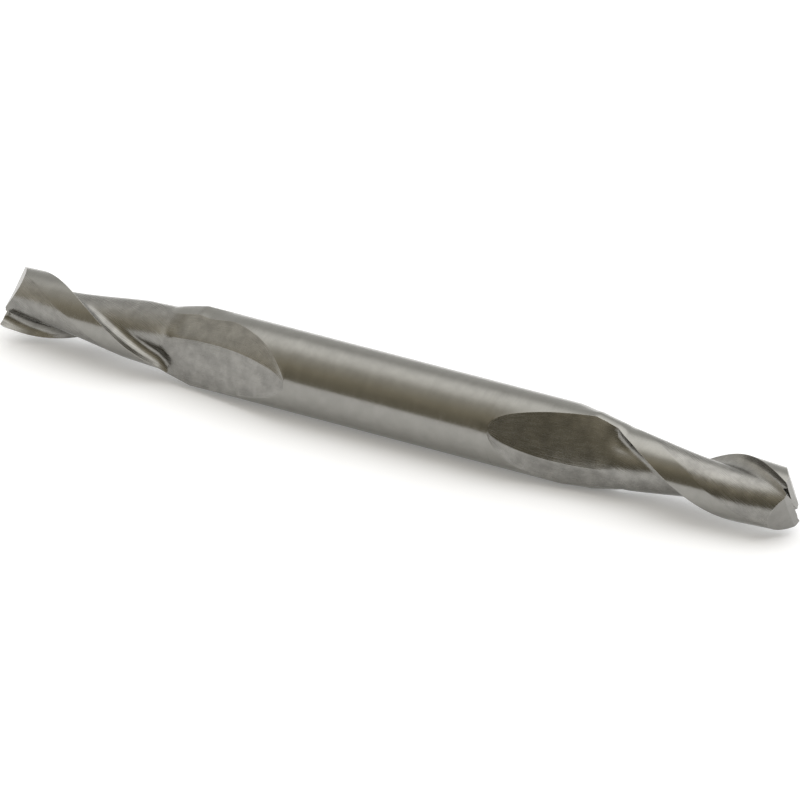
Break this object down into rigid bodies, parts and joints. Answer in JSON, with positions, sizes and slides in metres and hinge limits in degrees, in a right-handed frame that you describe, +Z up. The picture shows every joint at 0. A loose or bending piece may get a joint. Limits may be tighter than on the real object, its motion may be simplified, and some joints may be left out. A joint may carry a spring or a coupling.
{
  "type": "double end end mill",
  "caption": "Slim solid milling cutter with right-hand helical flutes and cutting teeth at each end, a taper at each neck and a plain round shank between.",
  "frame": {"origin": "on the tool's axis, at the middle of its length", "axes": "+X along the tool's axis, toward the end nearest the camera in the picture; -Y toward the camera's side; +Z up, with the tool lying level"},
  "size_m": [0.0512, 0.0048, 0.0048],
  "materials": {
    "ground_steel": "ground high-speed steel, satin, with fine grinding lines round the shank and along the flutes"
  },
  "bodies": {
    "root": {"end_mill": "ground_steel"}
  },
  "joints": []
}
